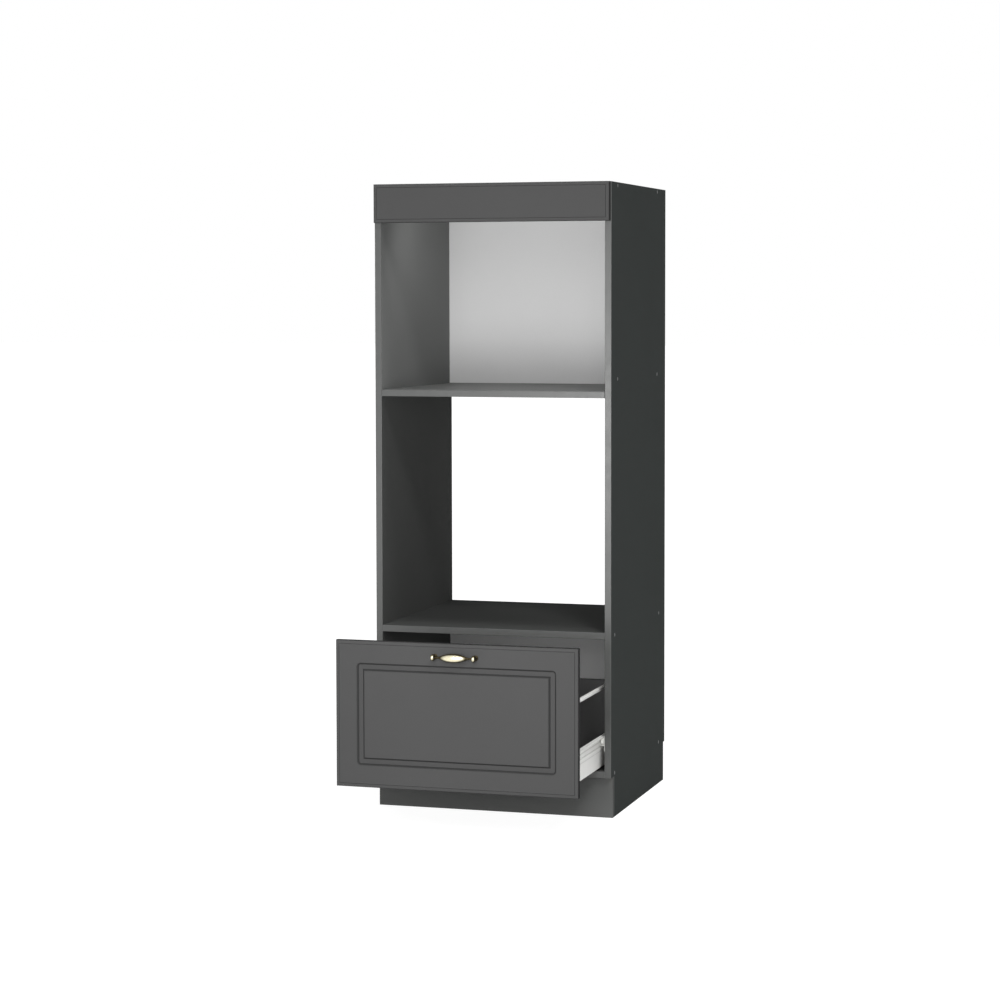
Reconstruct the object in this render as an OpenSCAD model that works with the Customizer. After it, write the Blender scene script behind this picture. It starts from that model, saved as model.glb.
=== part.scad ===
// Tall fitted kitchen cabinet: a microwave niche over an oven niche over one deep drawer.
// Laminated boards on a plinth box, milled fronts, a steel-sided drawer on roller runners.
// The origin is the middle of the foot of the front plinth board: +X right, +Y to the wall, +Z up.
// The drawer is drawn partly open, as the cabinet is shown.

/* [Carcass] */
// Overall width, over both side panels
carcass_w = 600; // [500:10:900]
// Depth of the side panels, without the fronts
carcass_d = 560; // [540:5:620]
// Height of the side panels, without the plinth
carcass_h = 1440; // [1400:10:1700]
// Thickness of every laminated board
board_t = 16; // [15:1:22]
// Thickness of the edge banding on the front edges
band_t = 1; // [0.4:0.1:2]
// Radius of the long corners of the edge banding
band_r = 0.8; // [0.2:0.1:0.9]
// Clear height of the oven niche, under the microwave niche, which takes the rest
oven_niche_h = 567; // [550:1:600]
// Clear height of the drawer compartment
drawer_room_h = 322; // [280:1:340]
// Gap between an end of the microwave shelf and the side panel
shelf_end_gap = 0.9; // [0.2:0.1:1.5]

/* [Back panels] */
// Thickness of the fibreboard back panels
back_t = 3; // [3:0.5:6]
// Distance from the rear edges of the carcass to the back panels
back_inset = 14; // [8:1:30]
// Depth of the grooves that hold the back panels
back_groove = 8; // [5:0.5:9]
// Clearance around a back panel in its groove
back_gap = 0.3; // [0.1:0.1:0.6]

/* [Plinth] */
// Height of the plinth box
plinth_h = 100; // [60:5:150]
// Distance from the carcass front back to the face of the plinth
plinth_setback = 18; // [5:1:70]
// Distance from the rear of the carcass forward to the plinth
plinth_rear_gap = 13; // [0:1:60]

/* [Fronts] */
// Thickness of the milled fronts
front_t = 16; // [16:1:22]
// Gap from the side of the carcass to the edge of a front
front_side_gap = 2; // [1:0.5:4]
// Height of the fascia over the microwave niche
fascia_h = 94; // [80:1:120]
// Height of the foot of the drawer front over the underside of the carcass
drawer_front_foot = 4; // [0:1:10]
// Width of the milled border round each front
border_w = 9; // [6:0.5:14]
// Depth of the border at its outer side
border_drop = 1.7; // [1.3:0.1:2.2]
// Depth of the small step at the inner side of the border
border_step = 1; // [0.3:0.1:1.2]
// Width of the sloped wall of that step
border_bevel = 1.2; // [0.5:0.1:2]
// Radius of the rounded outer edge of a front
edge_r = 2; // [1:0.5:3]
// Distance from the edge of the drawer front to its routed groove
groove_inset = 52.25; // [45:0.25:70]
// Radius of the router bit at the face, which is half the width of the groove
bit_r = 10; // [8:0.25:12]
// Radius of the flat tip of the router bit, which cuts the floor of the groove
bit_tip_r = 5.25; // [3:0.25:6.5]
// Depth of the routed groove
groove_depth = 5; // [2.5:0.25:6]

/* [Drawer] */
// How far the drawer stands open as drawn
drawer_open = 279; // [2:1:370]
// Distance from the rear of the carcass forward to the rear end of the closed drawer
drawer_rear_gap = 60; // [45:5:110]
// Height of the steel sides
side_h = 77; // [70:1:100]
// Thickness of the steel sheet of the sides and runners
steel_t = 1.2; // [1:0.1:1.5]
// Space between a side panel and the face of a steel side
side_space = 13.5; // [13:0.5:16]
// Height of the steel sides over the bottom panel of the carcass
side_foot = 8; // [3:0.5:12]
// Width of the ledge of a steel side that carries the drawer bottom
ledge_w = 14; // [10:1:20]
// Height of the lowest bead over the foot of a steel side
bead_foot = 39; // [34:0.5:43]
// Height of one rolled bead
bead_h = 12.5; // [10:0.5:13]
// Number of rolled beads in a steel side
bead_count = 2; // [1:1:2]
// How far a bead stands out
bead_out = 1.4; // [0.8:0.1:1.5]
// Width of the tab behind the drawer back
tab_w = 18; // [14:1:24]
// Space over the gallery rails, up to the oven shelf
drawer_headroom = 120; // [60:1:140]
// Clearance at each end of the drawer bottom and back
panel_gap = 0.3; // [0.1:0.1:0.8]

/* [Gallery rail] */
// Height of the rail tube
rail_h = 9.5; // [9:0.5:16]
// Width of the rail tube
rail_w = 8; // [7:0.5:10]
// Wall of the rail tube
rail_wall = 1; // [0.8:0.1:1.5]
// Corner radius of the rail tube
rail_r = 3; // [2:0.25:3.25]
// Space between a rail and the inner face of its steel side
rail_inset = 0.8; // [0.5:0.1:2]

/* [Runners] */
// Radius of the rollers
roller_r = 9.5; // [8:0.25:10.5]
// Width of the rollers
roller_w = 7.9; // [7:0.1:8.2]
// Radius of the roller axles
axle_r = 2.5; // [2:0.25:3]
// Running gap between a roller and the steel that passes it
run_gap = 0.3; // [0.2:0.05:0.5]
// Distance from the carcass front to the axis of the front roller
front_roller_in = 11.5; // [11:0.5:20]
// Distance from the rear end of the drawer to the axis of the rear roller
rear_roller_in = 12; // [11:0.5:20]
// Full travel of the drawer from closed
drawer_travel = 375; // [372:1:380]
// Gap between the closed drawer front and the carcass
closed_gap = 1.5; // [1:0.5:3]
// Height of the screw strip under the runner's channel
strip_h = 14; // [12:1:18]

/* [Handle] */
// Distance between the two handle posts
handle_pitch = 100; // [96:1:128]
// Height of the grip at its middle
grip_h = 21; // [16:1:26]
// Length of the leaf-shaped grip
grip_len = 80; // [70:1:90]
// Distance from the face of the front to the axis of the grip
grip_off = 16; // [14:0.5:24]
// Distance from the top edge of the drawer front down to the handle
handle_drop = 31; // [25:1:60]

/* [Fixings] */
// Distance from the carcass front to the front fixings of the top panel and the microwave shelf
upper_fix_front = 63; // [50:1:100]
// Distance from the carcass rear to the rear fixings of the top panel and the microwave shelf
upper_fix_rear = 89; // [60:1:150]
// Distance from the carcass front to the front fixings of the oven shelf and the bottom panel
lower_fix_front = 37; // [30:1:60]
// Distance from the carcass rear to the rear fixings of the oven shelf and the bottom panel
lower_fix_rear = 65; // [50:1:150]
// Niche height that the spare row of holes is drilled for
spare_niche_h = 450; // [380:1:460]
// Diameter of the heads of the carcass screws
head_d = 9.6; // [8:0.1:10]
// Diameter of the shank of the carcass screws
shank_d = 7; // [6:0.1:7.4]
// Diameter of the thread of the carcass screws
thread_d = 5; // [4:0.1:5.5]
// Length of the carcass screws
carcass_screw_len = 50; // [45:1:60]
// Diameter of the small wood screws
screw_d = 3.5; // [3:0.1:4]
// Radial clearance of screws, pins and rollers in their holes
fit_gap = 0.05; // [0.02:0.01:0.1]

/* [Hidden] */
$fn = 48;
cut = 1;                  // how far a cutting solid runs past the face that it cuts

// Colours
board_grey = [0.36, 0.36, 0.36];
band_grey = [0.45, 0.45, 0.45];
front_grey = [0.38, 0.38, 0.38];
back_white = [0.78, 0.79, 0.79];
steel_white = [0.88, 0.88, 0.86];
zinc = [0.72, 0.73, 0.74];
nylon_white = [0.93, 0.93, 0.92];
cap_grey = [0.42, 0.42, 0.42];
brass_old = [0.72, 0.64, 0.42];
beech = [0.76, 0.62, 0.44];

// Carcass planes
half_w = carcass_w / 2;
inner_x = half_w - board_t;
front_y = -(board_t / 2 + plinth_setback);
rear_y = front_y + carcass_d;
edge_y = front_y + band_t;
base_z = plinth_h;
floor_z = base_z + board_t;
top_z = base_z + carcass_h;
ceiling_z = top_z - board_t;
drawer_room_z = floor_z + drawer_room_h;
oven_z = drawer_room_z + board_t;
microwave_z = oven_z + oven_niche_h + board_t;
spare_z = ceiling_z - spare_niche_h - board_t / 2;

// Back panels
back_y = rear_y - back_inset - back_t;
back_bite = back_groove - back_gap;

// Fronts
front_w = carcass_w - 2 * front_side_gap;
groove_path = groove_inset + bit_r;
front_z = base_z + drawer_front_foot;
drawer_front_h = oven_z - front_z;

// Drawer
drawer_len = carcass_d - drawer_rear_gap;
drawer_y = front_y - drawer_open;
drawer_rear_y = drawer_y + drawer_len;
wall_x = inner_x - side_space;
wall_in_x = wall_x - steel_t;
side_z = floor_z + side_foot;
side_top_z = side_z + side_h;
tray_z = side_z + steel_t;
tray_top_z = tray_z + board_t;
tray_x = wall_in_x - panel_gap;
drawer_back_z = drawer_room_z - drawer_headroom - rail_h;
drawer_back_y = drawer_rear_y - steel_t - board_t;
bead_arc_r = (pow(bead_h / 2, 2) + pow(bead_out, 2)) / (2 * bead_out);

// Gallery rail
rail_x = wall_in_x - rail_inset - rail_w / 2;
rail_z = drawer_back_z + rail_h / 2;
socket_wall = 3;
socket_deep = 14;
socket_foot = 16;
clip_wall = 1.5;
clip_tab = 22;
clip_screw_up = 8;

// Runners and rollers
flange_clear = 3;
lip_w = 11;
roller_side_gap = bead_out + run_gap;
axle_head_r = 4;
axle_head_t = 1.1;
axle_head_gap = 0.2;
axle_reach = steel_t + roller_side_gap + roller_w + axle_head_gap;
roller_z = side_top_z - steel_t - run_gap - roller_r;
channel_floor_z = roller_z - roller_r - run_gap;
channel_roof_z = side_top_z + 1;
runner_len = drawer_len;
runner_front_y = front_y + closed_gap;
strip_z = channel_floor_z - steel_t - strip_h;
mouth_len = 40;
front_roller_y = front_y + front_roller_in;
rear_roller_y = drawer_rear_y - rear_roller_in;
open_left = drawer_travel + closed_gap - drawer_open;
stop_gap = 0.5;
stop_h = 2.5;
stop_reach = sqrt(pow(roller_r, 2) - pow(roller_r - stop_h + run_gap, 2));
stop_y = rear_roller_y - open_left - stop_reach - stop_gap - steel_t;
runner_screw_front = 37;
runner_screw_rear = closed_gap + runner_len - 16.5;
runner_screw_mid = (runner_screw_front + runner_screw_rear) / 2;
runner_screw_in = [runner_screw_front, runner_screw_mid, runner_screw_rear];
runner_screw_z = strip_z + strip_h / 2;

// Handle
post_r = 4;
bead_r = 8;
bead_half = 4.5;
neck_r = 2.4;
foot_r = 6.5;
foot_t = 2.5;
grip_back = 1.5;
grip_arc_r = (pow(grip_len / 2, 2) + pow(grip_h / 2, 2)) / grip_h;
handle_z = front_z + drawer_front_h - handle_drop;
handle_screw_d = 4;
handle_screw_bite = 10;

// Fixings
upper_fix = [upper_fix_front, carcass_d - upper_fix_rear];
lower_fix = [lower_fix_front, carcass_d - lower_fix_rear];
cap_recess = 0.4;
cap_t = 1.2;
head_t = 3;
hex_d = 4.6;
hex_floor = 0.6;
head_deep = cap_recess + cap_t + head_t;
spare_pilot = 10;
cam_r = 7.5;
cam_t = 12.4;
cam_in = 24;
cam_slot_t = 1.6;
cam_slot_deep = 1.5;
bolt_r = 3;
bolt_thread_r = 2.5;
side_bore = 11;
dowel_r = 4;
dowel_len = 30;
dowel_step = 32;
screw_head_d = 7;
screw_head_t = 1.7;
screw_len = 13;
tip_len = 2;
bore_past = 0.5;
recess_w = 0.9;
bracket_leg = 28;
bracket_w = 30;
bracket_t = 2;
bracket_hole = 18;
fascia_bracket_z = top_z - fascia_h + (fascia_h - board_t - bracket_w) / 2;
plinth_bracket_z = (plinth_h - bracket_w) / 2;
plinth_rear_y = rear_y - plinth_rear_gap - board_t;
carcass_bracket_in = [100, 400];
hook_t = 1.5;
hook_w = 22;
hook_len = 36;
plate_gap = 1.5;
plate_drop = 4;
plate_screw_in = 12;
plate_low = tray_top_z + plate_gap;
plate_top = side_top_z - plate_drop;
hook_top = side_z + bead_foot - plate_gap;
plate_screw_z = [plate_low + plate_screw_in, plate_top - plate_screw_in];
ledge_margin = 60;
ledge_screw_in = [ledge_margin, drawer_len / 2, drawer_len - ledge_margin];

// ---- Helpers ----

// Repeats its children on the left, mirrored in the middle plane.
module both_sides() {
    children();
    mirror([1, 0, 0]) children();
}

// A block given by its low and high corners.
module block(low, high) {
    translate(low) cube(high - low);
}

// Extrudes a flat outline, drawn in X and Z, along Y.
module along_y(from_y, to_y) {
    translate([0, to_y, 0]) rotate([90, 0, 0]) linear_extrude(to_y - from_y) children();
}

// Turns what points along -Z to point along the named direction.
module pointing_right() {
    rotate([0, -90, 0]) children();
}

module pointing_left() {
    rotate([0, 90, 0]) children();
}

module pointing_front() {
    rotate([-90, 0, 0]) children();
}

module pointing_rear() {
    rotate([90, 0, 0]) children();
}

module pointing_up() {
    rotate([180, 0, 0]) children();
}

// A rectangle about its centre with round corners.
module round_rect(w, h, r) {
    square([w - 2 * r, h], center = true);
    square([w, h - 2 * r], center = true);
    for (sx = [-1, 1], sz = [-1, 1]) {
        translate([sx * (w / 2 - r), sz * (h / 2 - r)]) circle(r);
    }
}

// ---- Fasteners ----

// Small wood screw: its head sits on z = 0 and its shank runs down.
module wood_screw(len = screw_len) {
    translate([0, 0, -len]) cylinder(d1 = screw_d * 0.5, d2 = screw_d, h = tip_len);
    translate([0, 0, tip_len - len]) cylinder(d = screw_d, h = len - tip_len + screw_head_t / 2);
    difference() {
        cylinder(d1 = screw_head_d, d2 = screw_head_d * 0.75, h = screw_head_t);
        for (a = [0, 90]) {
            rotate([0, 0, a]) translate([0, 0, screw_head_t + 0.1])
                cube([screw_head_d / 2, recess_w, screw_head_t], center = true);
        }
    }
}

module wood_screw_bore(len = screw_len) {
    translate([0, 0, -len - bore_past])
        cylinder(r = screw_d / 2 + fit_gap, h = len + bore_past + cut / 2);
}

// Carcass screw, driven down from the outer face of a board at z = 0.
module carcass_screw() {
    head_z = -head_deep;
    tip_z = -carcass_screw_len - cap_recess - cap_t;
    difference() {
        union() {
            translate([0, 0, head_z]) cylinder(d = head_d, h = head_t);
            translate([0, 0, -board_t]) cylinder(d = shank_d, h = board_t + head_z + cut);
            translate([0, 0, tip_z]) cylinder(d = thread_d, h = -board_t - tip_z + cut);
        }
        translate([0, 0, head_z + hex_floor]) cylinder(d = hex_d, h = head_t, $fn = 6);
    }
}

// The hole for a carcass screw: wide through the side panel, narrow in the end of the shelf.
module carcass_screw_bore() {
    tip_z = -carcass_screw_len - cap_recess - cap_t - bore_past;
    translate([0, 0, -head_deep]) cylinder(r = head_d / 2 + fit_gap, h = head_deep + cut);
    translate([0, 0, -board_t]) cylinder(r = shank_d / 2 + fit_gap, h = board_t);
    translate([0, 0, tip_z]) cylinder(r = thread_d / 2 + fit_gap, h = -tip_z - board_t + cut);
}

module screw_cap() {
    translate([0, 0, -cap_recess - cap_t]) cylinder(d = head_d, h = cap_t);
}

module spare_bore() {
    translate([0, 0, -cap_recess - cap_t])
        cylinder(r = head_d / 2 + fit_gap, h = cap_recess + cap_t + cut);
    translate([0, 0, -cap_recess - cap_t - spare_pilot])
        cylinder(d = thread_d, h = spare_pilot + cut / 2);
}

// Places its children on the right side panel at every carcass screw.
module at_carcass_screws() {
    for (in = upper_fix) {
        translate([half_w, front_y + in, top_z - board_t / 2]) pointing_left() children();
    }
    for (in = lower_fix, z = [oven_z - board_t / 2, base_z + board_t / 2]) {
        translate([half_w, front_y + in, z]) pointing_left() children();
    }
}

module at_spare_holes() {
    for (in = upper_fix) {
        translate([half_w, front_y + in, spare_z]) pointing_left() children();
    }
}

// Places its children at the joints of the microwave shelf, on the right panel's inner face.
module at_shelf_joints(step) {
    for (in = upper_fix) {
        inward = in < carcass_d / 2 ? step : -step;
        translate([inner_x, front_y + in + inward, microwave_z - board_t / 2]) children();
    }
}

module shelf_bolt() {
    pointing_right() translate([0, 0, -side_bore]) cylinder(r = bolt_thread_r, h = side_bore);
    pointing_left() translate([0, 0, -cam_in]) cylinder(r = bolt_r, h = cam_in);
}

module shelf_bolt_bores() {
    pointing_right() translate([0, 0, -side_bore - 0.3])
        cylinder(r = bolt_thread_r + fit_gap, h = side_bore + cut);
    pointing_left() translate([0, 0, -cam_in]) cylinder(r = bolt_r + fit_gap, h = cam_in);
}

// The round housing of a cam, in the underside of the microwave shelf.
module cam_pocket(gap) {
    translate([-cam_in, 0, -board_t / 2]) cylinder(r = cam_r + gap, h = cam_t + gap);
}

module shelf_cam() {
    difference() {
        cam_pocket(0);
        shelf_bolt_bores();
        for (a = [0, 90]) {
            translate([-cam_in, 0, -board_t / 2]) rotate([0, 0, a])
                cube([cam_r * 1.2, cam_slot_t, 2 * cam_slot_deep], center = true);
        }
    }
}

module shelf_dowel(gap) {
    in_side = side_bore + gap;
    pointing_right() translate([0, 0, -in_side])
        cylinder(r = dowel_r + gap, h = dowel_len + 2 * gap);
}

// ---- Angle brackets ----

// A bracket in the corner of the planes x = 0 and y = 0.
module angle_bracket() {
    difference() {
        union() {
            cube([bracket_leg, bracket_t, bracket_w]);
            cube([bracket_t, bracket_leg, bracket_w]);
        }
        at_bracket_holes() wood_screw_bore();
    }
}

module at_bracket_holes() {
    translate([bracket_hole, bracket_t, bracket_w / 2]) pointing_front() children();
    translate([bracket_t, bracket_hole, bracket_w / 2]) pointing_left() children();
}

module at_fascia_brackets() {
    both_sides() translate([-inner_x, front_y, fascia_bracket_z]) children();
}

module at_plinth_brackets() {
    both_sides() {
        translate([-inner_x, board_t / 2, plinth_bracket_z]) children();
        translate([-inner_x, plinth_rear_y, plinth_bracket_z]) mirror([0, 1, 0]) children();
        for (in = carcass_bracket_in) {
            translate([-inner_x, in, plinth_h]) rotate([-90, 0, 0]) children();
        }
    }
}

// ---- Carcass ----

module back_groove_x(z, depth) {
    block([-half_w, back_y - back_gap, z], [half_w, back_y + back_t + back_gap, z + depth]);
}

module side_panel() {
    difference() {
        block([inner_x, edge_y, base_z], [half_w, rear_y, top_z]);
        block([inner_x - cut, back_y - back_gap, base_z - cut],
              [inner_x + back_groove, back_y + back_t + back_gap, top_z + cut]);
        at_carcass_screws() carcass_screw_bore();
        at_spare_holes() spare_bore();
        at_shelf_joints(0) shelf_bolt_bores();
        at_shelf_joints(dowel_step) shelf_dowel(fit_gap);
        at_runner_screws() wood_screw_bore();
        at_fascia_brackets() at_bracket_holes() wood_screw_bore();
    }
}

// A board between the side panels, with its top face at z.
module cross_board(z, end_gap = 0) {
    block([end_gap - inner_x, edge_y, z - board_t], [inner_x - end_gap, rear_y, z]);
}

module side_panel_left() {
    color(board_grey) mirror([1, 0, 0]) side_panel();
}

module side_panel_right() {
    color(board_grey) side_panel();
}

module top_panel() {
    color(board_grey) difference() {
        cross_board(top_z);
        back_groove_x(ceiling_z - cut, back_groove + cut);
        both_sides() at_carcass_screws() carcass_screw_bore();
    }
}

module microwave_shelf() {
    color(board_grey) difference() {
        cross_board(microwave_z, shelf_end_gap);
        back_groove_x(microwave_z - back_groove, back_groove + cut);
        both_sides() at_shelf_joints(0) {
            shelf_bolt_bores();
            cam_pocket(fit_gap);
        }
        both_sides() at_shelf_joints(dowel_step) shelf_dowel(fit_gap);
    }
}

module oven_shelf() {
    color(board_grey) difference() {
        cross_board(oven_z);
        back_groove_x(drawer_room_z - cut, back_groove + cut);
        both_sides() at_carcass_screws() carcass_screw_bore();
    }
}

module bottom_panel() {
    color(board_grey) difference() {
        cross_board(floor_z);
        back_groove_x(floor_z - back_groove, back_groove + cut);
        both_sides() at_carcass_screws() carcass_screw_bore();
        at_plinth_brackets() at_bracket_holes() wood_screw_bore();
    }
}

module back_panel(low_z, high_z) {
    reach = inner_x + back_bite;
    color(back_white)
        block([-reach, back_y, low_z - back_bite], [reach, back_y + back_t, high_z + back_bite]);
}

module back_panel_upper() {
    back_panel(microwave_z, ceiling_z);
}

module back_panel_lower() {
    back_panel(floor_z, drawer_room_z);
}

// Section of the edge banding: flat against the board, round at its two front corners.
module band_section() {
    intersection() {
        translate([-board_t / 2, 0]) square([board_t, band_t]);
        union() {
            translate([0, band_t / 2]) square([board_t - 2 * band_r, band_t], center = true);
            translate([-board_t / 2, band_r]) square([board_t, band_t]);
            for (s = [-1, 1]) {
                translate([s * (board_t / 2 - band_r), band_r]) circle(band_r);
            }
        }
    }
}

module side_edge_bands() {
    color(band_grey) both_sides()
        translate([inner_x + board_t / 2, front_y, base_z]) linear_extrude(carcass_h) band_section();
}

module shelf_edge_band(top, end_gap) {
    translate([0, front_y, top - board_t / 2]) rotate([0, 90, 0])
        linear_extrude(2 * (inner_x - end_gap), center = true) band_section();
}

module shelf_edge_bands() {
    color(band_grey) {
        shelf_edge_band(top_z, 0);
        shelf_edge_band(microwave_z, shelf_end_gap);
        shelf_edge_band(oven_z, 0);
        shelf_edge_band(floor_z, 0);
    }
}

module carcass_screws() {
    color(zinc) both_sides() at_carcass_screws() carcass_screw();
}

module screw_caps() {
    color(cap_grey) both_sides() {
        at_carcass_screws() screw_cap();
        at_spare_holes() screw_cap();
    }
}

module shelf_cams() {
    color(zinc) both_sides() at_shelf_joints(0) shelf_cam();
}

module shelf_cam_bolts() {
    color(zinc) both_sides() at_shelf_joints(0) shelf_bolt();
}

module shelf_dowels() {
    color(beech) both_sides() at_shelf_joints(dowel_step) shelf_dowel(0);
}

// ---- Plinth ----

module plinth_bores() {
    at_plinth_brackets() at_bracket_holes() wood_screw_bore();
}

module plinth_front() {
    color(board_grey) difference() {
        block([-half_w, -board_t / 2, 0], [half_w, board_t / 2, plinth_h]);
        plinth_bores();
    }
}

module plinth_rear() {
    color(board_grey) difference() {
        block([-inner_x, plinth_rear_y, 0], [inner_x, plinth_rear_y + board_t, plinth_h]);
        plinth_bores();
    }
}

module plinth_side() {
    difference() {
        block([inner_x, board_t / 2, 0], [half_w, plinth_rear_y + board_t, plinth_h]);
        plinth_bores();
    }
}

module plinth_side_left() {
    color(board_grey) mirror([1, 0, 0]) plinth_side();
}

module plinth_side_right() {
    color(board_grey) plinth_side();
}

module plinth_brackets() {
    color(zinc) at_plinth_brackets() angle_bracket();
}

module plinth_screws() {
    color(zinc) at_plinth_brackets() at_bracket_holes() wood_screw();
}

// ---- Milled fronts ----

// The waste along one edge of a front, with the edge on z = 0 and the face at y = -front_t.
module border_waste(len) {
    face = -front_t;
    round_z = [for (a = [0:15:90]) edge_r * (1 - cos(a))];
    round_y = [for (a = [0:15:90]) face + border_drop + edge_r * (1 - sin(a))];
    rim = [for (i = [0:len(round_z) - 1]) [round_y[i], round_z[i]]];
    rotate([90, 0, 90]) linear_extrude(len + 2 * cut, center = true)
        polygon(concat(
            [[face - cut, -cut], [face + border_drop + edge_r, -cut]],
            rim,
            [
                [face + border_step, border_w - border_bevel],
                [face - cut, border_w + cut * border_bevel / border_step]
            ]
        ));
}

// Half the outline of the router bit, from its axis outwards.
module bit_half() {
    translate([0, -cut]) square([bit_r, 2 * cut]);
    polygon([[0, -groove_depth], [bit_tip_r, -groove_depth], [bit_r, 0], [0, 0]]);
}

// The path of the router bit round a panel: four straight cuts and four turns.
module routed_groove(w, h) {
    for (a = [0:3]) {
        along = a % 2 == 0 ? w : h;
        across = a % 2 == 0 ? h : w;
        rotate([0, 90 * a, 0]) translate([0, -front_t, groove_path - across / 2]) {
            rotate([180, -90, 0]) linear_extrude(along - 2 * groove_path, center = true) {
                bit_half();
                mirror([1, 0]) bit_half();
            }
            translate([along / 2 - groove_path, 0, 0]) rotate([90, 0, 0]) rotate_extrude()
                bit_half();
        }
    }
}

// A front about its own centre, with its back face on y = 0.
module milled_front(w, h) {
    difference() {
        block([-w / 2, -front_t, -h / 2], [w / 2, 0, h / 2]);
        for (a = [0:3]) {
            along = a % 2 == 0 ? w : h;
            across = a % 2 == 0 ? h : w;
            rotate([0, 90 * a, 0]) translate([0, 0, -across / 2]) border_waste(along);
        }
        children();
    }
}

module fascia_panel() {
    color(front_grey) difference() {
        translate([0, front_y, top_z - fascia_h / 2]) milled_front(front_w, fascia_h);
        at_fascia_brackets() at_bracket_holes() wood_screw_bore();
    }
}

module fascia_brackets() {
    color(zinc) at_fascia_brackets() angle_bracket();
}

module fascia_screws() {
    color(zinc) at_fascia_brackets() at_bracket_holes() wood_screw();
}

module drawer_front() {
    color(front_grey) difference() {
        translate([0, drawer_y, front_z + drawer_front_h / 2])
            milled_front(front_w, drawer_front_h) routed_groove(front_w, drawer_front_h);
        both_sides() {
            at_hook_screws() wood_screw_bore();
            at_socket_screw() wood_screw_bore();
            at_handle_screw() handle_screw_bore();
        }
    }
}

// ---- Drawer box ----

// One rolled bead of a steel side, with its foot at z.
module bead_arc(z) {
    intersection() {
        translate([wall_x + bead_out - bead_arc_r, z + bead_h / 2]) difference() {
            circle(bead_arc_r);
            circle(bead_arc_r - steel_t);
        }
        translate([wall_in_x, z]) square([steel_t + bead_out, bead_h]);
    }
}

// Section of the right steel side: ledge, flat foot, beads, and the flange that the roller carries.
module drawer_side_section() {
    bead_zone = bead_count * bead_h;
    difference() {
        translate([wall_in_x, side_z]) square([steel_t, side_h]);
        translate([wall_in_x - cut, side_z + bead_foot]) square([steel_t + 2 * cut, bead_zone]);
    }
    for (i = [0:bead_count - 1]) {
        bead_arc(side_z + bead_foot + i * bead_h);
    }
    translate([wall_in_x - ledge_w, side_z]) square([ledge_w + steel_t, steel_t]);
    translate([wall_in_x, side_top_z - steel_t]) square([inner_x - flange_clear - wall_in_x, steel_t]);
}

module drawer_side() {
    difference() {
        union() {
            along_y(drawer_y, drawer_rear_y) drawer_side_section();
            block([wall_in_x - tab_w, drawer_rear_y - steel_t, plate_low],
                  [wall_x, drawer_rear_y, plate_top]);
        }
        translate([wall_in_x, rear_roller_y, roller_z]) pointing_right() axle_bore();
        at_tab_screws() wood_screw_bore();
        at_ledge_screws() wood_screw_bore();
    }
}

module drawer_side_left() {
    color(steel_white) mirror([1, 0, 0]) drawer_side();
}

module drawer_side_right() {
    color(steel_white) drawer_side();
}

module drawer_bottom() {
    color(board_grey) difference() {
        block([-tray_x, drawer_y + panel_gap, tray_z], [tray_x, drawer_rear_y, tray_top_z]);
        both_sides() at_ledge_screws() wood_screw_bore();
    }
}

module drawer_back() {
    color(board_grey) difference() {
        block([-tray_x, drawer_back_y, tray_top_z],
              [tray_x, drawer_back_y + board_t, drawer_back_z]);
        both_sides() {
            at_tab_screws() wood_screw_bore();
            at_clip_screw() wood_screw_bore();
        }
    }
}

module at_ledge_screws() {
    for (in = ledge_screw_in) {
        translate([wall_in_x - ledge_w / 2, drawer_y + in, side_z]) pointing_up() children();
    }
}

module at_tab_screws() {
    for (z = plate_screw_z) {
        translate([wall_in_x - tab_w / 2, drawer_rear_y, z]) pointing_front() children();
    }
}

module drawer_bottom_screws() {
    color(zinc) both_sides() at_ledge_screws() wood_screw();
}

module drawer_back_screws() {
    color(zinc) both_sides() at_tab_screws() wood_screw();
}

// ---- Front brackets ----

module at_hook_screws() {
    for (z = plate_screw_z) {
        translate([wall_in_x - hook_w / 2, drawer_y + hook_t, z]) pointing_front() children();
    }
}

module front_brackets() {
    color(zinc) both_sides() difference() {
        union() {
            block([wall_in_x - hook_w, drawer_y, plate_low],
                  [wall_in_x, drawer_y + hook_t, plate_top]);
            block([wall_in_x - hook_t, drawer_y, plate_low],
                  [wall_in_x, drawer_y + hook_len, hook_top]);
        }
        at_hook_screws() wood_screw_bore();
    }
}

module drawer_front_screws() {
    color(zinc) both_sides() at_hook_screws() wood_screw();
}

// ---- Gallery rails ----

module gallery_rail() {
    translate([rail_x, 0, rail_z]) along_y(drawer_y + socket_wall, drawer_back_y + board_t)
        difference() {
            round_rect(rail_w, rail_h, rail_r);
            round_rect(rail_w - 2 * rail_wall, rail_h - 2 * rail_wall, rail_r - rail_wall);
        }
}

module gallery_rail_left() {
    color(steel_white) mirror([1, 0, 0]) gallery_rail();
}

module gallery_rail_right() {
    color(steel_white) gallery_rail();
}

module at_socket_screw() {
    translate([rail_x, drawer_y + socket_wall, rail_z - rail_h / 2 - socket_foot / 2 - socket_wall])
        pointing_front() children();
}

module rail_socket() {
    low = -rail_h / 2 - socket_wall;
    difference() {
        translate([rail_x, 0, rail_z]) {
            along_y(drawer_y, drawer_y + socket_deep)
                round_rect(rail_w + 2 * socket_wall, rail_h + 2 * socket_wall, rail_r);
            along_y(drawer_y, drawer_y + socket_wall)
                translate([-rail_w / 2 - socket_wall, low - socket_foot])
                    square([rail_w + 2 * socket_wall, socket_foot + 2 * socket_wall]);
        }
        translate([rail_x, 0, rail_z]) along_y(drawer_y + socket_wall, drawer_y + socket_deep + cut)
            round_rect(rail_w + 2 * fit_gap, rail_h + 2 * fit_gap, rail_r);
        at_socket_screw() wood_screw_bore();
    }
}

module rail_sockets() {
    color(cap_grey) both_sides() rail_socket();
}

module at_clip_screw() {
    translate([rail_x, drawer_back_y - clip_wall, drawer_back_z - clip_tab + clip_screw_up])
        pointing_rear() children();
}

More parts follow.
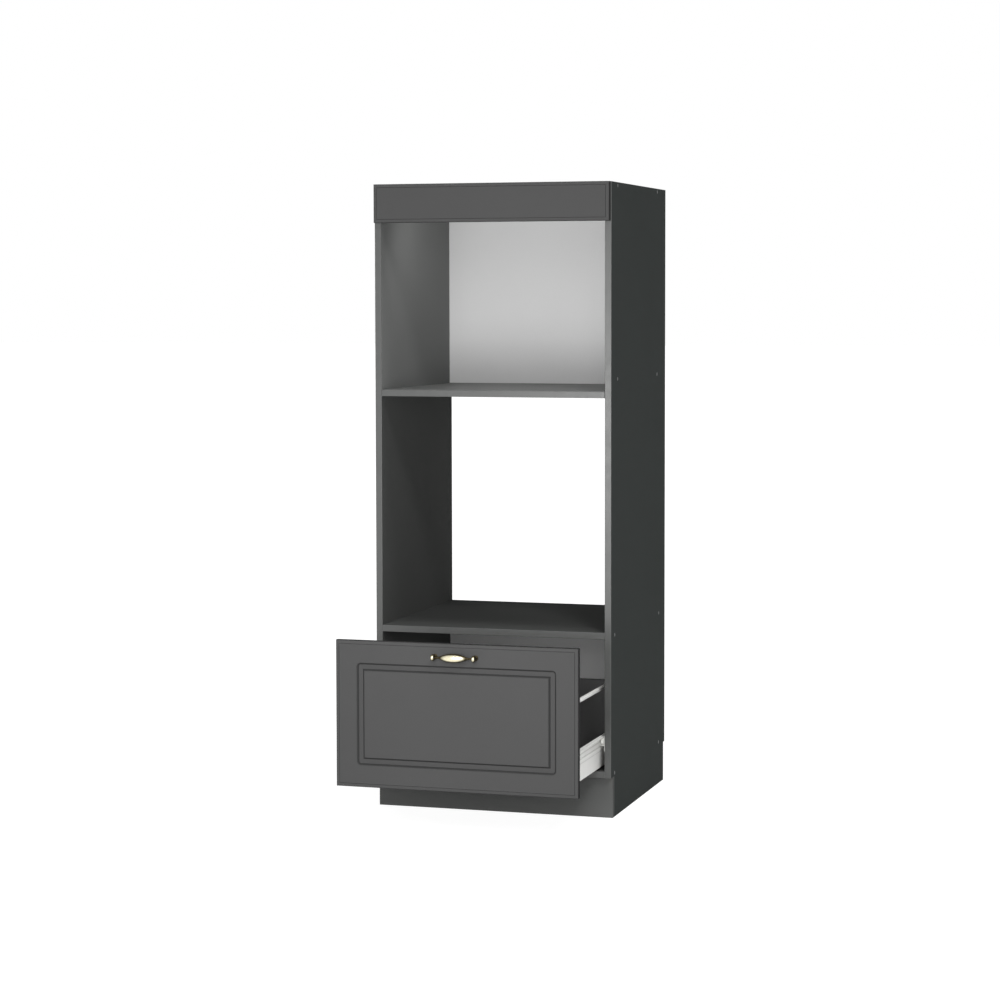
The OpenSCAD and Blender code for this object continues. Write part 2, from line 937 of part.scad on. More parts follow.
// The clip that holds the rear end of a rail down on the drawer back.
module rail_clip() {
    out_w = rail_w + 2 * clip_wall;
    difference() {
        union() {
            block([rail_x - out_w / 2, drawer_back_y - clip_wall, drawer_back_z],
                  [rail_x + out_w / 2, drawer_back_y + board_t, drawer_back_z + rail_h + clip_wall]);
            block([rail_x - out_w / 2, drawer_back_y - clip_wall, drawer_back_z - clip_tab],
                  [rail_x + out_w / 2, drawer_back_y, drawer_back_z + clip_wall]);
        }
        translate([rail_x, 0, rail_z]) along_y(drawer_back_y - clip_wall - cut, drawer_back_y + board_t + cut)
            round_rect(rail_w + 2 * fit_gap, rail_h + 2 * fit_gap, rail_r);
        at_clip_screw() wood_screw_bore();
    }
}

module rail_clips() {
    color(cap_grey) both_sides() rail_clip();
}

module rail_screws() {
    color(zinc) both_sides() {
        at_socket_screw() wood_screw();
        at_clip_screw() wood_screw();
    }
}

// ---- Handle ----

// A disc with a round rim, turned about the X axis.
module handle_bead() {
    rotate([0, 90, 0]) rotate_extrude() {
        translate([0, -bead_half]) square([bead_r - bead_half, 2 * bead_half]);
        translate([bead_r - bead_half, 0]) intersection() {
            circle(bead_half);
            translate([0, -bead_half]) square([bead_half, 2 * bead_half]);
        }
    }
}

// A leaf shape, turned about the X axis from one long arc.
module handle_leaf() {
    rotate([0, 90, 0]) rotate_extrude() intersection() {
        translate([grip_h / 2 - grip_arc_r, 0]) circle(grip_arc_r, $fn = 180);
        translate([0, -grip_len / 2]) square([grip_h / 2, grip_len]);
    }
}

module at_handle_screw() {
    translate([handle_pitch / 2, drawer_y, handle_z]) pointing_front() children();
}

module handle_screw_bore() {
    len = front_t + handle_screw_bite + bore_past;
    translate([0, 0, -len]) cylinder(r = handle_screw_d / 2 + fit_gap, h = len + cut);
}

module handle_post() {
    reach = grip_off + bead_half / 2;
    pointing_front() {
        translate([0, 0, -reach]) cylinder(r = post_r, h = reach);
        translate([0, 0, -foot_t]) cylinder(r1 = post_r, r2 = foot_r, h = foot_t);
    }
}

module handle() {
    face_y = drawer_y - front_t;
    color(brass_old) difference() {
        translate([0, face_y, handle_z]) {
            translate([0, -grip_off, 0]) {
                intersection() {
                    handle_leaf();
                    block([-half_w, -grip_h, -grip_h], [half_w, grip_back, grip_h]);
                }
                rotate([0, 90, 0]) cylinder(r = neck_r, h = handle_pitch, center = true);
            }
            both_sides() translate([handle_pitch / 2, 0, 0]) {
                translate([0, -grip_off, 0]) handle_bead();
                handle_post();
            }
        }
        both_sides() at_handle_screw() handle_screw_bore();
    }
}

module handle_screws() {
    len = front_t + handle_screw_bite;
    color(zinc) both_sides() at_handle_screw() difference() {
        union() {
            cylinder(r1 = handle_screw_d, r2 = handle_screw_d * 0.8, h = 2.4);
            translate([0, 0, -len]) cylinder(d = handle_screw_d, h = len + 1);
        }
        for (a = [0, 90]) {
            rotate([0, 0, a]) translate([0, 0, 2.4]) cube([handle_screw_d * 1.1, 1, 2.4], center = true);
        }
    }
}

// ---- Runners and rollers ----

// Section of the right runner: a channel open to the drawer over a strip for its screws.
module runner_section() {
    roof_top = channel_roof_z + steel_t;
    translate([inner_x - steel_t, strip_z]) square([steel_t, roof_top - strip_z]);
    translate([inner_x - lip_w, channel_floor_z - steel_t]) square([lip_w, steel_t]);
    translate([inner_x - lip_w, channel_roof_z]) square([lip_w, steel_t]);
}

module runner() {
    difference() {
        union() {
            along_y(runner_front_y, runner_front_y + runner_len) runner_section();
            block([inner_x - lip_w, stop_y, channel_floor_z - steel_t / 2],
                  [inner_x - steel_t / 2, stop_y + steel_t, channel_floor_z + stop_h]);
        }
        block([inner_x - lip_w - cut, runner_front_y - cut, channel_roof_z - cut],
              [inner_x - steel_t, runner_front_y + mouth_len, channel_roof_z + steel_t + cut]);
        at_runner_screws() wood_screw_bore();
        translate([inner_x, front_roller_y, roller_z]) pointing_left() axle_bore();
    }
}

module at_runner_screws() {
    for (in = runner_screw_in) {
        translate([inner_x - steel_t, front_y + in, runner_screw_z]) pointing_right() children();
    }
}

module runner_left() {
    color(steel_white) mirror([1, 0, 0]) runner();
}

module runner_right() {
    color(steel_white) runner();
}

module runner_screws() {
    color(zinc) both_sides() at_runner_screws() wood_screw();
}

// A riveted axle, from the far face of its steel sheet at z = 0 down to its head.
module axle() {
    translate([0, 0, -axle_reach - axle_head_t / 2]) cylinder(r = axle_r, h = axle_reach + axle_head_t / 2);
    translate([0, 0, -axle_reach - axle_head_t])
        cylinder(r1 = axle_head_r - 0.5, r2 = axle_head_r, h = axle_head_t);
}

module axle_bore() {
    translate([0, 0, -steel_t - cut]) cylinder(r = axle_r + fit_gap, h = steel_t + 2 * cut);
}

module runner_axles() {
    color(zinc) both_sides() translate([inner_x, front_roller_y, roller_z]) pointing_left() axle();
}

module drawer_axles() {
    color(zinc) both_sides() translate([wall_in_x, rear_roller_y, roller_z]) pointing_right() axle();
}

// A roller with a bored hub, a dished face and rounded rims, on its axle as above.
module roller() {
    rim = 1;
    hub_r = axle_r + 2.2;
    dish = 1.2;
    translate([0, 0, -steel_t - roller_side_gap - roller_w]) rotate_extrude() difference() {
        union() {
            square([roller_r - rim, roller_w]);
            translate([0, rim]) square([roller_r, roller_w - 2 * rim]);
            for (z = [rim, roller_w - rim]) {
                translate([roller_r - rim, z]) circle(rim);
            }
        }
        translate([-cut, -cut]) square([axle_r + fit_gap + cut, roller_w + 2 * cut]);
        translate([hub_r, -cut]) square([roller_r - 2 * rim - hub_r, dish + cut]);
    }
}

module roller_front() {
    color(nylon_white) translate([inner_x, front_roller_y, roller_z]) pointing_left() roller();
}

module roller_rear() {
    color(nylon_white) translate([wall_in_x, rear_roller_y, roller_z]) pointing_right() roller();
}

module roller_front_left() {
    mirror([1, 0, 0]) roller_front();
}

module roller_front_right() {
    roller_front();
}

module roller_rear_left() {
    mirror([1, 0, 0]) roller_rear();
}

module roller_rear_right() {
    roller_rear();
}

// ---- The nodes ----

side_panel_left();
side_panel_right();
top_panel();
microwave_shelf();
oven_shelf();
bottom_panel();
back_panel_upper();
back_panel_lower();
side_edge_bands();
shelf_edge_bands();
fascia_panel();
fascia_brackets();
fascia_screws();
plinth_front();
plinth_rear();
plinth_side_left();
plinth_side_right();
plinth_brackets();
plinth_screws();
carcass_screws();
screw_caps();
shelf_cams();
shelf_cam_bolts();
shelf_dowels();
drawer_front();
drawer_side_left();
drawer_side_right();
drawer_bottom();
drawer_back();
gallery_rail_left();
gallery_rail_right();
rail_sockets();
rail_clips();
rail_screws();
front_brackets();
drawer_front_screws();
drawer_back_screws();
drawer_bottom_screws();
handle();
handle_screws();
runner_left();
runner_right();
runner_screws();
runner_axles();
drawer_axles();
roller_front_left();
roller_front_right();
roller_rear_left();
roller_rear_right();
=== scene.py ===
import math

import bmesh
import bpy
from mathutils import Matrix, Vector


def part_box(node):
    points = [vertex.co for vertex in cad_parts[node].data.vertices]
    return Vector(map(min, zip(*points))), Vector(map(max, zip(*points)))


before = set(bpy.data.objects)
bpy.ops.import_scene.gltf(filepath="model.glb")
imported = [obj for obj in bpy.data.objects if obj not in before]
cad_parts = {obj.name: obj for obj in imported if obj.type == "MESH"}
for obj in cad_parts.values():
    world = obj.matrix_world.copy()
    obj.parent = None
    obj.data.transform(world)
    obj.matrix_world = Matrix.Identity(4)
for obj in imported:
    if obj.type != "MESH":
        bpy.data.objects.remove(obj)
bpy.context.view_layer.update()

# Lengths are in metres, and texture scales in features per metre.

scene = bpy.context.scene
scene.view_settings.view_transform = "Standard"


# ---- Camera, at the photograph's viewpoint ----

CAMERA_AT = (1.8644, -6.0853, 1.2640)
CAMERA_YAW = 0.29537
CAMERA_DOWN = 0.06239
CAMERA_ROLL = -0.00176
FOCAL_PX = 2607.2
IMAGE_PX = 1000
SENSOR_MM = 36
SHIFT_Y = -0.04
CLIP_NEAR, CLIP_FAR = 0.1, 200

camera_data = bpy.data.cameras.new("camera")
camera_data.sensor_width = SENSOR_MM
camera_data.lens = FOCAL_PX / IMAGE_PX * SENSOR_MM
camera_data.shift_y = SHIFT_Y
camera_data.clip_start = CLIP_NEAR
camera_data.clip_end = CLIP_FAR
camera = bpy.data.objects.new("camera", camera_data)
scene.collection.objects.link(camera)
scene.camera = camera
camera.matrix_world = (
    Matrix.Translation(CAMERA_AT)
    @ Matrix.Rotation(CAMERA_YAW, 4, "Z")
    @ Matrix.Rotation(math.pi / 2 - CAMERA_DOWN, 4, "X")
    @ Matrix.Rotation(CAMERA_ROLL, 4, "Z")
)


# ---- Node helpers ----

X, Y, Z = range(3)
WHITE = (1, 1, 1, 1)


def tone(r, g=None, b=None):
    """A colour given in sRGB steps of 0 to 255, as a linear RGBA."""
    steps = (r, r if g is None else g, r if b is None else b)
    linear = [
        v / 255 / 12.92 if v / 255 <= 0.04045 else ((v / 255 + 0.055) / 1.055) ** 2.4
        for v in steps
    ]
    return (*linear, 1.0)


def shade(colour, factor):
    return (*[c * factor for c in colour[:3]], 1.0)


class Nodes:
    """Adds nodes to one tree, each from its settings and its input values or links."""

    def __init__(self, tree):
        self.tree = tree
        tree.nodes.clear()

    def feed(self, socket, value):
        """Links another node's output to a socket, or sets the socket to a plain value."""
        if isinstance(value, bpy.types.NodeSocket):
            self.tree.links.new(value, socket)
        else:
            socket.default_value = value

    def add(self, kind, inputs=None, **settings):
        node = self.tree.nodes.new(kind)
        for key, value in settings.items():
            setattr(node, key, value)
        for key, value in (inputs or {}).items():
            self.feed(node.inputs[key], value)
        return node

    def math(self, operation, a, b=0.0):
        return self.add("ShaderNodeMath", {0: a, 1: b}, operation=operation).outputs[0]

    def mix(self, factor, a, b):
        """Colour a at a factor of 0, colour b at 1."""
        node = self.add("ShaderNodeMix", data_type="RGBA")
        for socket, value in zip((node.inputs[0], node.inputs[6], node.inputs[7]), (factor, a, b)):
            self.feed(socket, value)
        return node.outputs[2]

    def span(self, value, low, high, to_low=0.0, to_high=1.0, smooth=False):
        """Carries the range low to high over to to_low to to_high, and holds the ends."""
        node = self.add(
            "ShaderNodeMapRange",
            {0: value, 1: low, 2: high, 3: to_low, 4: to_high},
            interpolation_type="SMOOTHSTEP" if smooth else "LINEAR",
        )
        return node.outputs[0]

    def shown(self, light, picture):
        """A shader that lights the object as light, and is seen as picture, both by the
        camera and in metal and glass."""
        path = self.add("ShaderNodeLightPath").outputs
        in_glass = self.math("MAXIMUM", path["Is Glossy Ray"], path["Is Transmission Ray"])
        seen = self.math("MAXIMUM", path["Is Camera Ray"], in_glass)
        return self.add("ShaderNodeMixShader", {0: seen, 1: light, 2: picture}).outputs[0]


class Surface(Nodes):
    """A material on the principled shader, laid out in the part's own coordinates."""

    # The values between which a noise mostly varies, and a calmer pair for large clouds
    NOISE_LOW, NOISE_HIGH = 0.3, 0.7
    CLOUD_LOW, CLOUD_HIGH = 0.35, 0.65
    # A surface counts as facing an axis where its normal has more than this share of it
    TURNED = 0.5

    def __init__(self, name, **constants):
        self.material = bpy.data.materials.new(name)
        self.material.use_nodes = True
        super().__init__(self.material.node_tree)
        self.shader = self.add("ShaderNodeBsdfPrincipled")
        self.add("ShaderNodeOutputMaterial", {"Surface": self.shader.outputs[0]})
        self.place = self.add("ShaderNodeTexCoord").outputs["Object"]
        for key, value in constants.items():
            self.shader.inputs[key.replace("_", " ")].default_value = value

    def axes(self, source=None):
        return self.add("ShaderNodeSeparateXYZ", {0: source or self.place}).outputs

    def scaled(self, x, y, z):
        return self.add(
            "ShaderNodeMapping", {"Vector": self.place, "Scale": (x, y, z)}
        ).outputs[0]

    def noise(self, scale, detail=2.0, roughness=0.5, place=None):
        return self.add(
            "ShaderNodeTexNoise",
            {
                "Vector": place or self.place,
                "Scale": scale,
                "Detail": detail,
                "Roughness": roughness,
            },
        ).outputs["Fac"]

    def cells(self, scale, place=None, output="Color"):
        return self.add(
            "ShaderNodeTexVoronoi", {"Vector": place or self.place, "Scale": scale}
        ).outputs[output]

    def ramp(self, factor, *stops):
        node = self.add("ShaderNodeValToRGB", {"Fac": factor})
        elements = node.color_ramp.elements
        while len(elements) < len(stops):
            elements.new(0.5)
        for element, (at, colour) in zip(elements, stops):
            element.position = at
            element.color = colour
        return node.outputs["Color"]

    def spread(self, noise, to_low, to_high):
        return self.span(noise, self.NOISE_LOW, self.NOISE_HIGH, to_low, to_high)

    def two_tone(self, noise, low, high):
        return self.ramp(noise, (self.NOISE_LOW, low), (self.NOISE_HIGH, high))

    def clouds(self, scale, amount):
        return self.span(self.noise(scale, 3), self.CLOUD_LOW, self.CLOUD_HIGH, 0.0, amount)

    def bump(self, height, distance, strength, after=None):
        inputs = {"Height": height, "Distance": distance, "Strength": strength}
        if after is not None:
            inputs["Normal"] = after
        return self.add("ShaderNodeBump", inputs).outputs[0]

    def facing(self, axis, sign=1):
        """How far the surface faces along an axis, or against it with a sign of -1."""
        normal = self.add("ShaderNodeNewGeometry").outputs["Normal"]
        return self.math("MULTIPLY", self.axes(normal)[axis], sign)

    def across(self, axis):
        """How far the surface lies across an axis, whichever way it faces, from 0 to 1."""
        return self.math("ABSOLUTE", self.facing(axis))

    def faces(self, axis, sign=1):
        """1 where the surface faces along the axis, else 0."""
        return self.math("GREATER_THAN", self.facing(axis, sign), self.TURNED)

    def colour(self, value):
        self.feed(self.shader.inputs["Base Color"], value)

    def roughness(self, value):
        self.feed(self.shader.inputs["Roughness"], value)

    def normal(self, value):
        self.feed(self.shader.inputs["Normal"], value)


# ---- Materials ----

BOARD = tone(85, 86, 85)
# Outer faces of the side panels and plinth sides: a darker copy of the board tone, painted shade
SHADED_BOARD_OUT = tone(69, 72, 71)
# Oven shelf: a darker copy of the board tone, painted shade
SHADED_OVEN_SHELF = tone(79, 80, 79)
# Inner faces in the microwave niche, on the side panels and under the top panel: a paler copy of
# the board tone, painted light
LIT_NICHE = tone(126, 127, 126)
# Top face of the microwave shelf: a paler copy of the board tone, painted light from the pale back
# panel
LIT_SHELF_TOP = tone(110, 111, 110)
# Drawer back: a paler copy of the board tone, painted light
LIT_DRAWER_BACK = tone(101, 101, 101)
# Plinth front and rear: a paler copy of the board tone, painted light
LIT_PLINTH = tone(98, 99, 98)
BAND = tone(80, 81, 80)
FRONT = tone(79, 79, 79)
# Share of the front tone left on the milled walls and the edges: painted shade
MILLED_WALL_SHADE = 0.54

HALF_BOARD = 0.008
PAPER = 0.0004

# The microwave niche starts half a board below its shelf's top
NICHE_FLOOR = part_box("microwave_shelf")[1][Z] - HALF_BOARD
# Heights between which the steel sides have their beads, and how far a surface lies across X
# in a hollow between two beads and on a flat
BEADS_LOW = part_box("drawer_side_right")[0][Z] + 0.038
BEADS_HIGH = BEADS_LOW + 0.027
HOLLOW, FLAT = 0.90, 0.975
# How far a surface lies across Y on a milled wall and on a level face
MILLED, LEVEL = 0.84, 0.97
# Distances from the middle of the handle between which the grip's rubbed part ends and the
# beads' begins, and depths behind the handle's front between which the rubbing ends
GRIP_ENDS = (0.031, 0.042)
BEAD_BEGINS = (0.0455, 0.0475)
RUBBED_DEPTH = (0.0015, 0.0065)


def pearl(s, colour, contrast=0.10):
    """Fine light and dark grain of a melamine paper, with faint larger clouds."""
    grain = s.noise(1500, 3, 0.65)
    fine = s.two_tone(grain, shade(colour, 1 - contrast), shade(colour, 1 + contrast))
    return s.mix(s.clouds(5, 0.22), fine, shade(colour, 0.90))


def chip_core(s, across):
    """Cut edge of chipboard: coarse chips in the middle, fine ones under the faces."""
    squeeze = [2.2 if axis == across else 0.6 for axis in (X, Y, Z)]
    coarse = s.cells(260, s.scaled(*squeeze))
    fine = s.noise(1900, 4, 0.7)
    chips = s.ramp(
        s.axes(coarse)[0],
        (0.0, tone(112, 84, 56)),
        (0.45, tone(158, 126, 88)),
        (0.8, tone(186, 156, 116)),
        (1.0, tone(206, 182, 146)),
    )
    dust = s.two_tone(fine, tone(128, 100, 68), tone(190, 162, 122))
    return chips, dust, fine


def board(name, node, across, inside, outside, bare, specular):
    """Melamine-faced chipboard. across is the axis of the board's thickness, inside and outside
    are the tones of its two faces, and a bare board shows its core on the rear and lower edges.
    A side panel's inner face is paler above the microwave shelf, as painted light in the niche."""
    s = Surface(name, Specular_IOR_Level=specular)
    low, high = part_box(node)
    mid = (low[across] + high[across]) / 2
    half = (high[across] - low[across]) / 2
    from_mid = s.math("ABSOLUTE", s.math("SUBTRACT", s.axes()[across], mid))
    face = pearl(s, inside)
    if bare and across == X:
        # Painted light: the inner face is paler above the microwave shelf
        niche = s.math("GREATER_THAN", s.axes()[Z], NICHE_FLOOR)
        face = s.mix(niche, face, pearl(s, LIT_NICHE))
    # The outer face takes the outside tone, which for some boards is painted light or painted shade
    if inside != outside:
        face = s.mix(s.faces(across, math.copysign(1, mid)), face, pearl(s, outside))
    grain = s.noise(1300, 3, 0.6)
    edge = s.mix(grain, shade(inside, 0.86), shade(inside, 1.02))
    if bare:
        chips, dust, fine = chip_core(s, across)
        core = s.mix(s.span(from_mid, half * 0.50, half * 0.75), chips, dust)
        paper = s.math("GREATER_THAN", from_mid, half - PAPER)
        core = s.mix(paper, core, shade(outside, 0.7))
        edge = s.mix(s.math("MAXIMUM", s.faces(Y), s.faces(Z, -1)), edge, core)
        grain = fine
    on_face = s.math("GREATER_THAN", s.across(across), s.TURNED)
    s.colour(s.mix(on_face, edge, face))
    s.roughness(s.spread(s.noise(900), 0.50, 0.62))
    s.normal(s.bump(grain, 0.00005, 0.5))
    return s.material


def edge_banding():
    s = Surface("edge_banding", Specular_IOR_Level=0.5)
    streaks = s.noise(1, 3, 0.6, s.scaled(900, 900, 12))
    s.colour(s.mix(s.spread(streaks, 0.0, 0.5), pearl(s, BAND, 0.06), shade(BAND, 0.93)))
    s.roughness(s.spread(s.noise(40, 3), 0.30, 0.40))
    s.normal(s.bump(s.noise(1300), 0.00004, 0.4))
    return s.material


def milled_film():
    """Matt film drawn over milled fibreboard: a soft even grain, and a darker copy of the front
    tone on the milled walls and the edges, which is painted shade."""
    s = Surface("milled_film", Specular_IOR_Level=0.0)
    drift = s.spread(s.noise(3.5, 3, 0.55), 0.0, 0.35)
    face = s.mix(drift, pearl(s, FRONT, 0.05), shade(FRONT, 0.95))
    # Painted shade: surfaces turned away from the front, the milled walls and edges, take the
    # darker tone
    level = s.span(s.across(Y), MILLED, LEVEL)
    s.colour(s.mix(level, shade(FRONT, MILLED_WALL_SHADE), face))
    s.roughness(s.spread(s.noise(60, 4), 0.46, 0.56))
    skin = s.bump(s.noise(420, 3, 0.6), 0.00006, 0.5)
    s.normal(s.bump(s.noise(2600), 0.00003, 0.5, skin))
    return s.material


def fibreboard():
    """Pale paint on the front of the thin back panels, bare brown fibre behind and on the edges."""
    s = Surface("fibreboard", Specular_IOR_Level=0.15)
    paint = s.two_tone(s.noise(700, 3, 0.6), tone(211), tone(219))
    paint = s.mix(s.clouds(4, 0.3), paint, tone(208))
    mat = s.noise(1, 4, 0.7, s.scaled(260, 260, 120))
    bare = s.ramp(
        mat,
        (0.25, tone(104, 74, 48)),
        (0.5, tone(138, 103, 70)),
        (0.75, tone(166, 130, 94)),
    )
    painted = s.faces(Y, -1)
    s.colour(s.mix(painted, bare, paint))
    s.roughness(s.span(painted, 0.0, 1.0, 0.85, 0.45))
    s.normal(s.bump(mat, 0.0001, 0.35))
    return s.material


def powder_coat(name, beads=None):
    """White powder coat. Between the two heights of the beads, painted shade greys the hollows
    between them.
    """
    s = Surface(name, Specular_IOR_Level=0.4)
    coat_and_hollow_shade = s.two_tone(s.noise(14, 3), tone(240, 240, 237), tone(246, 246, 243))
    if beads:
        low, high = beads
        height = s.axes()[Z]
        above = s.math("GREATER_THAN", height, low)
        within = s.math("MULTIPLY", above, s.math("LESS_THAN", height, high))
        # Painted shade: grey where the surface turns away from X in the hollows between the beads
        hollow_shade = s.span(s.across(X), HOLLOW, FLAT, 1.0, 0.0)
        coat_and_hollow_shade = s.mix(s.math("MULTIPLY", within, hollow_shade), coat_and_hollow_shade, tone(176, 176, 172))
    s.colour(coat_and_hollow_shade)
    s.roughness(s.spread(s.noise(120, 3), 0.34, 0.44))
    peel = s.bump(s.noise(620, 2, 0.4), 0.00005, 0.6)
    s.normal(s.bump(s.noise(2400), 0.00002, 0.4, peel))
    return s.material


def zinc_plate():
    s = Surface("zinc_plate", Metallic=1.0)
    spangle = s.axes(s.cells(420))[0]
    s.colour(s.mix(spangle, tone(188, 192, 196), tone(214, 214, 206)))
    s.roughness(s.spread(s.noise(300, 4), 0.26, 0.42))
    s.normal(s.bump(s.noise(1800, 3), 0.00003, 0.5))
    return s.material


def grey_plastic():
    s = Surface("grey_plastic", Specular_IOR_Level=0.25)
    s.colour(pearl(s, tone(92, 93, 93), 0.05))
    s.roughness(s.spread(s.noise(500, 3), 0.42, 0.55))
    s.normal(s.bump(s.cells(1600, output="Distance"), 0.00005, 0.5))
    return s.material


def beech_wood():
    s = Surface("beech_wood", Specular_IOR_Level=0.3)
    grain = s.noise(1, 5, 0.6, s.scaled(60, 900, 900))
    flecks = s.noise(1, 2, 0.5, s.scaled(500, 2600, 2600))
    wood = s.ramp(
        grain,
        (0.25, tone(176, 134, 90)),
        (0.6, tone(208, 170, 124)),
        (0.8, tone(220, 188, 146)),
    )
    s.colour(s.mix(s.span(flecks, 0.62, 0.72), wood, tone(140, 98, 62)))
    s.roughness(s.spread(grain, 0.55, 0.7))
    s.normal(s.bump(grain, 0.0001, 0.5))
    return s.material


def old_brass():
    """Antique brass: worn bright on the proud front of the grip's belly and the beads' crowns,
    brown-black on the necks, the posts and the feet. The bright part also follows how far the
    surface faces the front, so the flanks are dark: a painted reflection."""
    s = Surface("old_brass", Metallic=1.0)
    low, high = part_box("handle")
    middle = (low[X] + high[X]) / 2
    x, y, _ = s.axes()
    aside = s.math("ABSOLUTE", s.math("SUBTRACT", x, middle))
    depth = s.math("SUBTRACT", y, low[Y])
    uneven = s.span(s.noise(420, 4, 0.6), 0.2, 0.8, -0.14, 0.14)
    # Painted reflection: brighter where the brass faces the front, dark on the flanks; the noise
    # makes the wear uneven
    rub_and_reflection = s.span(s.math("ADD", s.facing(Y, -1), uneven), 0.50, 0.90, smooth=True)
    grip = s.span(aside, *GRIP_ENDS, 1.0, 0.0, smooth=True)
    bead = s.span(aside, *BEAD_BEGINS, smooth=True)
    proud = s.span(depth, *RUBBED_DEPTH, 1.0, 0.0, smooth=True)
    touched = s.math("MULTIPLY", s.math("MAXIMUM", grip, bead), proud)
    wear_and_reflection = s.math("MULTIPLY", rub_and_reflection, touched)
    bright = s.two_tone(s.noise(900, 3), tone(224, 214, 178), tone(246, 241, 216))
    dark = s.two_tone(s.noise(600, 4, 0.7), tone(34, 30, 21), tone(74, 66, 46))
    s.colour(s.mix(wear_and_reflection, dark, bright))
    s.roughness(s.span(wear_and_reflection, 0.0, 1.0, 0.52, 0.24))
    s.normal(s.bump(s.noise(1300, 3), 0.00004, 0.5))
    return s.material


def nylon():
    s = Surface("nylon", Specular_IOR_Level=0.4)
    s.colour(s.two_tone(s.noise(220, 3), tone(226, 226, 222), tone(236, 236, 232)))
    s.roughness(s.spread(s.noise(700, 3), 0.36, 0.5))
    s.normal(s.bump(s.noise(1500), 0.00003, 0.5))
    return s.material


BOARDS = {
    # node: axis of the thickness, tone inside, tone outside, bare rear edge, specular level
    "side_panel_left": (X, BOARD, SHADED_BOARD_OUT, True, 0.0),
    "side_panel_right": (X, BOARD, SHADED_BOARD_OUT, True, 0.0),
    "top_panel": (Z, LIT_NICHE, BOARD, True, 0.0),
    "microwave_shelf": (Z, BOARD, LIT_SHELF_TOP, True, 0.4),
    "oven_shelf": (Z, SHADED_OVEN_SHELF, SHADED_OVEN_SHELF, True, 0.0),
    "bottom_panel": (Z, BOARD, BOARD, True, 0.0),
    "plinth_front": (Y, LIT_PLINTH, LIT_PLINTH, False, 0.0),
    "plinth_rear": (Y, LIT_PLINTH, LIT_PLINTH, False, 0.0),
    "plinth_side_left": (X, BOARD, SHADED_BOARD_OUT, False, 0.0),
    "plinth_side_right": (X, BOARD, SHADED_BOARD_OUT, False, 0.0),
    "drawer_bottom": (Z, BOARD, BOARD, False, 0.05),
    "drawer_back": (Y, LIT_DRAWER_BACK, LIT_DRAWER_BACK, False, 0.05),
}

FINISHES = (
    (edge_banding(), ["side_edge_bands", "shelf_edge_bands"]),
    (milled_film(), ["fascia_panel", "drawer_front"]),
    (fibreboard(), ["back_panel_upper", "back_panel_lower"]),
    (
        zinc_plate(),
        [
            "fascia_brackets", "fascia_screws", "plinth_brackets", "plinth_screws",
            "carcass_screws", "shelf_cams", "shelf_cam_bolts", "rail_screws", "front_brackets",
            "drawer_front_screws", "drawer_back_screws", "drawer_bottom_screws",
            "handle_screws", "runner_screws", "runner_axles", "drawer_axles",
        ],
    ),
    (grey_plastic(), ["screw_caps", "rail_sockets", "rail_clips"]),
    (beech_wood(), ["shelf_dowels"]),
    (
        powder_coat("powder_coat_beaded", (BEADS_LOW, BEADS_HIGH)),
        ["drawer_side_left", "drawer_side_right"],
    ),
    (
        powder_coat("powder_coat"),
        ["gallery_rail_left", "gallery_rail_right", "runner_left", "runner_right"],
    ),
    (old_brass(), ["handle"]),
    (
        nylon(),
        ["roller_front_left", "roller_front_right", "roller_rear_left", "roller_rear_right"],
    ),
)


def dress(node, material):
    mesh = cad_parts[node].data
    if not mesh.materials:
        mesh.materials.append(material)
    for i in range(len(mesh.materials)):
        mesh.materials[i] = material


for node, spec in BOARDS.items():
    dress(node, board("board_" + node, node, *spec))
for material, nodes in FINISHES:
    for node in nodes:
        dress(node, material)


# ---- Light ----

WORLD_FILL = 0.20
SUNS = {
    # name: strength, azimuth to the right of the front, elevation, angle, in degrees
    "sun_front": (0.54, 10, 12, 20),
    "sun_key": (0.72, 30, 45, 12),
    "sun_top": (1.10, 60, 75, 20),
    "sun_rear": (1.3, 225, 8, 25),
}
SUN_DISTANCE = 8
SUN_AIM = Vector((0, 0, 0.8))
PANELS = {
    # name: power, place, aim, size
    "panel_low": (15.6, (-0.2, -3.2, 0.45), (0.0, 0.0, 1.0), 0.8),
    "panel_rise": (9.4, (0.5, -2.6, 0.75), (0.0, 0.3, 1.25), 0.5),
    "panel_near": (5.7, (0.05, -1.4, 1.0), (0.1, 0.0, 1.0), 0.6),
    "panel_side": (6.4, (2.2, -2.2, 1.0), (0.1, 0.0, 0.8), 1.2),
    # behind the fascia, and above the drawer under the oven shelf
    "panel_niche": (0.49, (-0.06, 0.05, 1.485), (-0.08, 0.56, 1.27), 0.06),
    "panel_drawer": (0.14, (0.06, 0.14, 0.385), (-0.10, 0.50, 0.34), 0.06),
}


def lamp(name, data, place, aim):
    holder = bpy.data.objects.new(name, data)
    scene.collection.objects.link(holder)
    holder.visible_camera = False
    holder.location = place
    holder.rotation_euler = (Vector(aim) - Vector(place)).to_track_quat("-Z", "Y").to_euler()


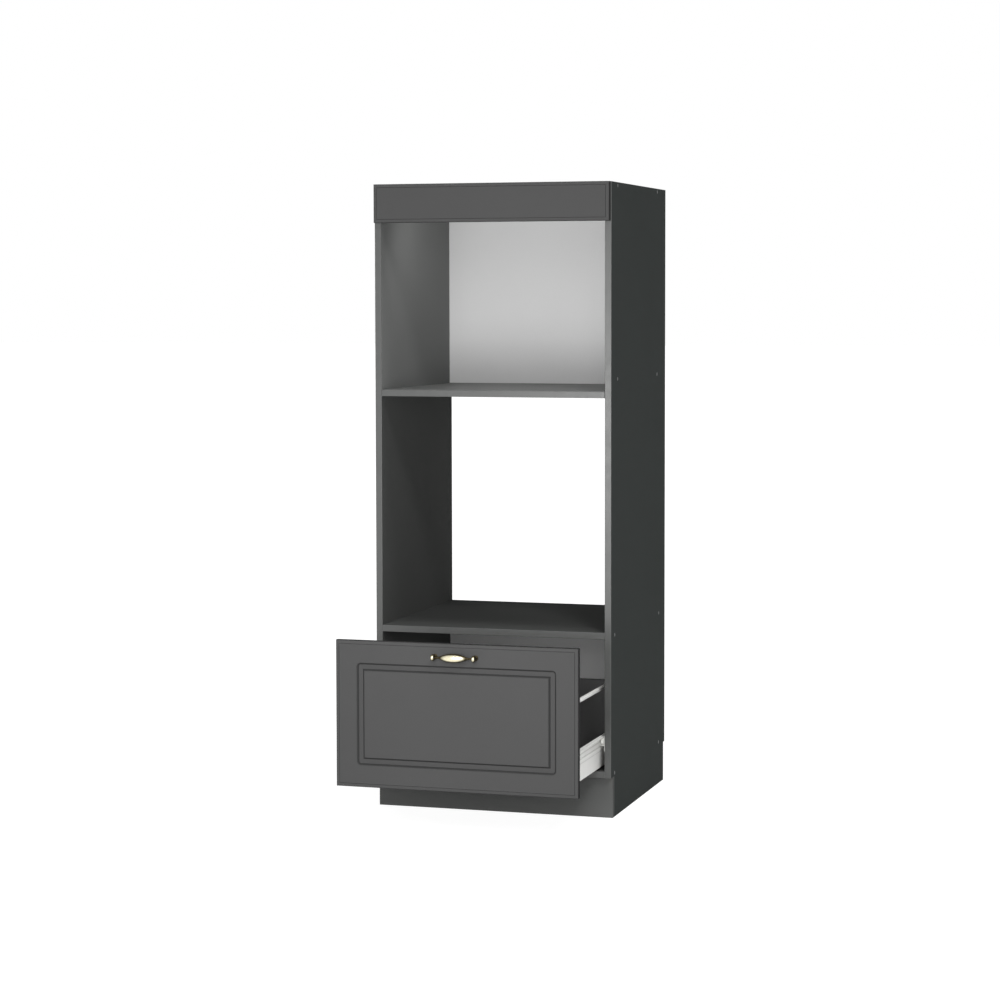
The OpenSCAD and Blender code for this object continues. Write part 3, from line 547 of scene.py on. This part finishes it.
for name, (strength, azimuth, elevation, angle) in SUNS.items():
    data = bpy.data.lights.new(name, "SUN")
    data.energy = strength
    data.angle = math.radians(angle)
    a, e = math.radians(azimuth), math.radians(elevation)
    away = Vector((math.sin(a) * math.cos(e), -math.cos(a) * math.cos(e), math.sin(e)))
    lamp(name, data, away * SUN_DISTANCE + SUN_AIM, SUN_AIM)
for name, (power, place, aim, size) in PANELS.items():
    data = bpy.data.lights.new(name, "AREA")
    data.energy = power
    data.size = size
    lamp(name, data, place, aim)

world = bpy.data.worlds.new("studio")
scene.world = world
world.use_nodes = True
w = Nodes(world.node_tree)
fill = w.add("ShaderNodeBackground", {"Color": WHITE, "Strength": WORLD_FILL})
white = w.add("ShaderNodeBackground", {"Color": WHITE, "Strength": 1.0})
w.add("ShaderNodeOutputWorld", {"Surface": w.shown(fill.outputs[0], white.outputs[0])})


# ---- Floor: white where it is seen, apart from the object's shadow ----

FLOOR_HALF = 60
FLOOR_GAP = 0.0005
FLOOR_BOUNCE = 0.8
FLOOR_SHADOW = 0.25
FLOOR_GLOW = 0.935

mesh = bpy.data.meshes.new("floor")
grid = bmesh.new()
bmesh.ops.create_grid(grid, x_segments=8, y_segments=8, size=FLOOR_HALF)
grid.to_mesh(mesh)
grid.free()
floor = bpy.data.objects.new("floor", mesh)
scene.collection.objects.link(floor)
floor.location = (0, 0, -FLOOR_GAP)
paint = bpy.data.materials.new("floor_paint")
paint.use_nodes = True
f = Nodes(paint.node_tree)
bounce = f.add("ShaderNodeBsdfDiffuse", {"Color": (*[FLOOR_BOUNCE] * 3, 1)})
shadowed = f.add("ShaderNodeBsdfDiffuse", {"Color": (*[FLOOR_SHADOW] * 3, 1)})
glow = f.add("ShaderNodeEmission", {"Color": WHITE, "Strength": FLOOR_GLOW})
picture = f.add("ShaderNodeAddShader", {0: shadowed.outputs[0], 1: glow.outputs[0]})
f.add("ShaderNodeOutputMaterial", {"Surface": f.shown(bounce.outputs[0], picture.outputs[0])})
mesh.materials.append(paint)
